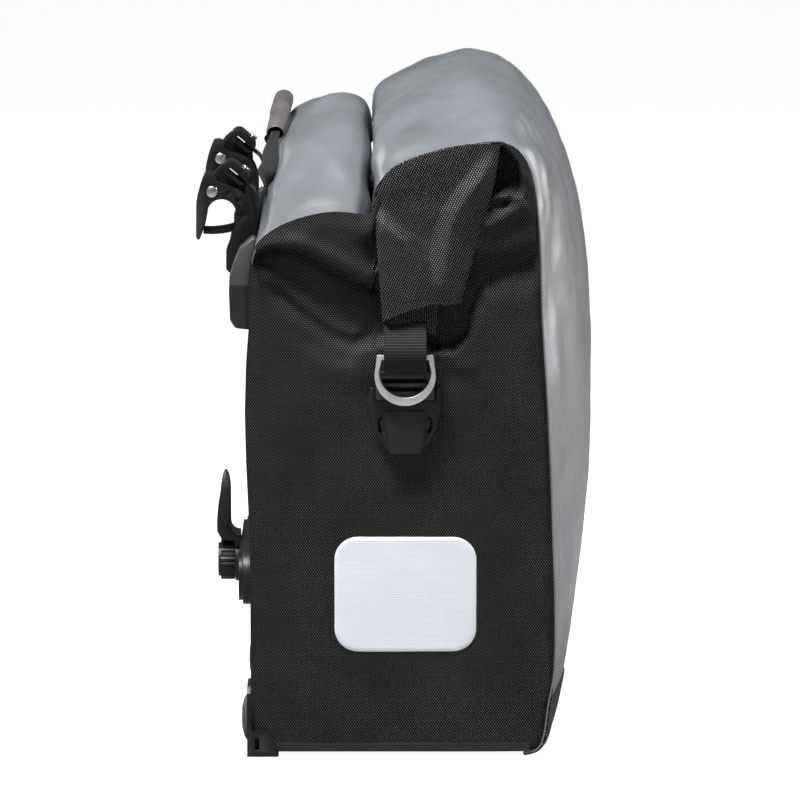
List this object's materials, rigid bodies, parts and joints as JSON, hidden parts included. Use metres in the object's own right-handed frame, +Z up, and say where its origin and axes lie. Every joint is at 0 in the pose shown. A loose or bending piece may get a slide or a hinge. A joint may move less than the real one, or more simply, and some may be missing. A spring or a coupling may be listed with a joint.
{
  "type": "bicycle pannier bag",
  "caption": "Roll-top bicycle pannier with side buckles, rack hooks released by the carrying handle, and a turning lower hook on a rail.",
  "frame": {"origin": "on the ground, under the middle of the bag's overall box", "axes": "+Z up; +X from the rack side to the bag's outer face; Y along the bag's width, with left pieces at -Y"},
  "size_m": [0.2368, 0.3362, 0.4115],
  "materials": {
    "tarpaulin": "grey coated tarpaulin, satin, fine plain weave under the coat",
    "side_weave": "black coated nylon with a coarse weave, matt",
    "webbing": "black ribbed polyester webbing",
    "stiff_sheet": "thin stiff polyethylene sheet",
    "reflective": "pale retroreflective film",
    "ring_metal": "satin",
    "steel": "plated",
    "grip_rubber": "smooth grey-brown rubber",
    "black_plastic": "moulded, satin, slightly grained"
  },
  "bodies": {
    "bag": {"front_panel": "tarpaulin", "roll_top": "tarpaulin", "back_panel": "tarpaulin", "bottom_panel": "side_weave", "left_side_panel": "side_weave", "right_side_panel": "side_weave", "left_roll_end": "side_weave", "right_roll_end": "side_weave", "left_closure_strap": "webbing", "right_closure_strap": "webbing", "mouth_stiffener": "stiff_sheet", "back_stiffener": "stiff_sheet", "left_reflector": "reflective", "right_reflector": "reflective", "left_top_screw": "steel", "right_top_screw": "steel", "left_hook_pin": "steel", "right_hook_pin": "steel", "left_lever_spring": "steel", "right_lever_spring": "steel", "left_clamp_nut": "steel", "right_clamp_nut": "steel", "left_clamp_screw": "steel", "right_clamp_screw": "steel", "left_low_screw": "steel", "right_low_screw": "steel", "left_corner_bumper": "grip_rubber", "right_corner_bumper": "grip_rubber", "left_buckle_socket": "black_plastic", "right_buckle_socket": "black_plastic", "top_rail": "black_plastic", "left_rail_cap": "black_plastic", "right_rail_cap": "black_plastic", "left_hook_body": "black_plastic", "right_hook_body": "black_plastic", "lower_rail": "black_plastic", "left_corner_guard": "black_plastic", "right_corner_guard": "black_plastic"},
    "handle": {"handle_grip": "grip_rubber", "handle_strap": "webbing"},
    "left_lever": {"left_hook_lever": "black_plastic", "left_strap_screw": "steel", "left_lever_strap": "webbing"},
    "right_lever": {"right_hook_lever": "black_plastic", "right_strap_screw": "steel", "right_lever_strap": "webbing"},
    "carriage": {"lower_slider": "steel", "lower_stud": "steel"},
    "lower_hook": {"lower_hook": "black_plastic"},
    "knob": {"lower_knob": "black_plastic"},
    "left_plug": {"left_buckle_plug": "black_plastic"},
    "right_plug": {"right_buckle_plug": "black_plastic"},
    "left_ring": {"left_d_ring": "ring_metal"},
    "right_ring": {"right_d_ring": "ring_metal"}
  },
  "joints": [
    {"name": "handle_lift", "type": "slide", "parent": "bag", "child": "handle", "axis": [0, 0, 1], "range_m": [0, 0.015], "stiffness_N_per_m": 100, "springref_m": -0.004},
    {"name": "left_lever_turn", "type": "hinge", "parent": "bag", "child": "left_lever", "pos_m": [-0.1088, -0.095, 0.3375], "axis": [0, -1, 0], "range_deg": [0, 30]},
    {"name": "right_lever_turn", "type": "hinge", "parent": "bag", "child": "right_lever", "pos_m": [-0.1088, 0.095, 0.3375], "axis": [0, -1, 0], "range_deg": [0, 30]},
    {"name": "carriage_slide", "type": "slide", "parent": "bag", "child": "carriage", "axis": [0, 1, 0], "range_m": [-0.05, 0.05]},
    {"name": "lower_hook_turn", "type": "hinge", "parent": "carriage", "child": "lower_hook", "pos_m": [-0.1, 0, 0.1], "axis": [1, 0, 0], "range_deg": [-90, 90]},
    {"name": "knob_turn", "type": "hinge", "parent": "carriage", "child": "knob", "pos_m": [-0.1, 0, 0.1], "axis": [1, 0, 0], "continuous": true},
    {"name": "left_plug_slide", "type": "slide", "parent": "bag", "child": "left_plug", "axis": [0, -0.1203, 0.9927], "range_m": [0, 0.021], "deforming": ["left_closure_strap"]},
    {"name": "right_plug_slide", "type": "slide", "parent": "bag", "child": "right_plug", "axis": [0, 0.1203, 0.9927], "range_m": [0, 0.021], "deforming": ["right_closure_strap"]},
    {"name": "left_ring_swing", "type": "hinge", "parent": "left_plug", "child": "left_ring", "pos_m": [0.0054, -0.15479, 0.24519], "axis": [-1, 0, 0], "range_deg": [-5, 120]},
    {"name": "right_ring_swing", "type": "hinge", "parent": "right_plug", "child": "right_ring", "pos_m": [0.0054, 0.15479, 0.24519], "axis": [1, 0, 0], "range_deg": [-5, 120]}
  ],
  "couplings": [
    {"joint": "left_lever_turn", "follows": "handle_lift", "rad_per_m": 34.9},
    {"joint": "right_lever_turn", "follows": "handle_lift", "rad_per_m": 34.9}
  ]
}
